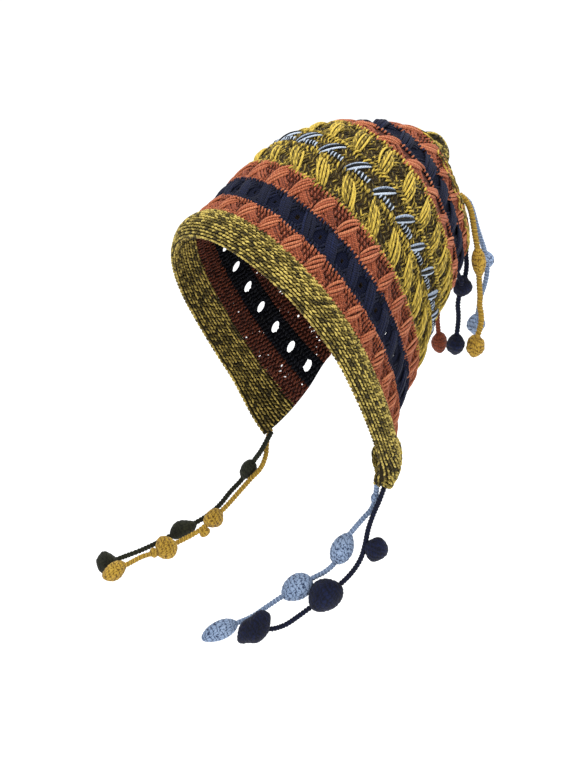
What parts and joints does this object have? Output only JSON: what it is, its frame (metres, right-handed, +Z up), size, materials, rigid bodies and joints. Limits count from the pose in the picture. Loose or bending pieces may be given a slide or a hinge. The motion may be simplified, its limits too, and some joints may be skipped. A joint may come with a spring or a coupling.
{
  "type": "chullo hat",
  "caption": "Knitted bonnet-like hat in coloured bands with a rolled face edging, two pointed ear flaps, and crocheted cords with bobbles at the flap tips and the back.",
  "frame": {"origin": "inside of the crown, where the hat rests on the top of the head", "axes": "+Z up as worn, the face looks along -Y, the wearer's left is +X"},
  "size_m": [0.2188, 0.3129, 0.3784],
  "materials": {
    "trim": "marled knit",
    "rust": "knit",
    "navy": "knit",
    "olive": "marled knit",
    "blue": "slip-stitch knit",
    "mustard": "crochet",
    "light_blue": "crochet",
    "dark_olive": "crochet"
  },
  "bodies": {
    "root": {"front_trim": "trim", "rust_band_1": "rust", "navy_band_1": "navy", "rust_band_2": "rust", "olive_band_1": "olive", "blue_band": "blue", "olive_band_2": "olive", "rust_band_3": "rust", "navy_band_2": "navy", "rust_band_4": "rust", "crown_end": "olive", "crown_knot": "olive", "near_cord_blue": "light_blue", "near_cord_blue_leaf_1": "light_blue", "near_cord_blue_bobble_1": "light_blue", "near_cord_blue_bobble_2": "light_blue", "near_cord_blue_bobble_3": "light_blue", "near_cord_navy": "navy", "near_cord_navy_bobble_1": "navy", "near_cord_navy_bobble_2": "navy", "near_cord_navy_bobble_3": "navy", "far_cord_olive": "dark_olive", "far_cord_olive_bobble_1": "dark_olive", "far_cord_olive_bobble_2": "dark_olive", "far_cord_olive_bobble_3": "dark_olive", "far_cord_mustard": "mustard", "far_cord_mustard_bobble_1": "mustard", "far_cord_mustard_picot_1": "mustard", "far_cord_mustard_bobble_2": "mustard", "far_cord_mustard_picot_2": "mustard", "far_cord_mustard_bobble_3": "mustard", "crown_cord_navy": "navy", "crown_cord_navy_bobble_1": "navy", "crown_cord_navy_bobble_2": "navy", "crown_cord_mustard": "mustard", "crown_cord_mustard_bobble_1": "mustard", "crown_cord_mustard_bobble_2": "mustard", "crown_cord_blue": "light_blue", "crown_cord_blue_bobble_1": "light_blue", "crown_cord_blue_bobble_2": "light_blue", "crown_cord_rust": "rust", "crown_cord_rust_bobble_1": "rust", "crown_cord_navy_short": "navy"}
  },
  "joints": []
}
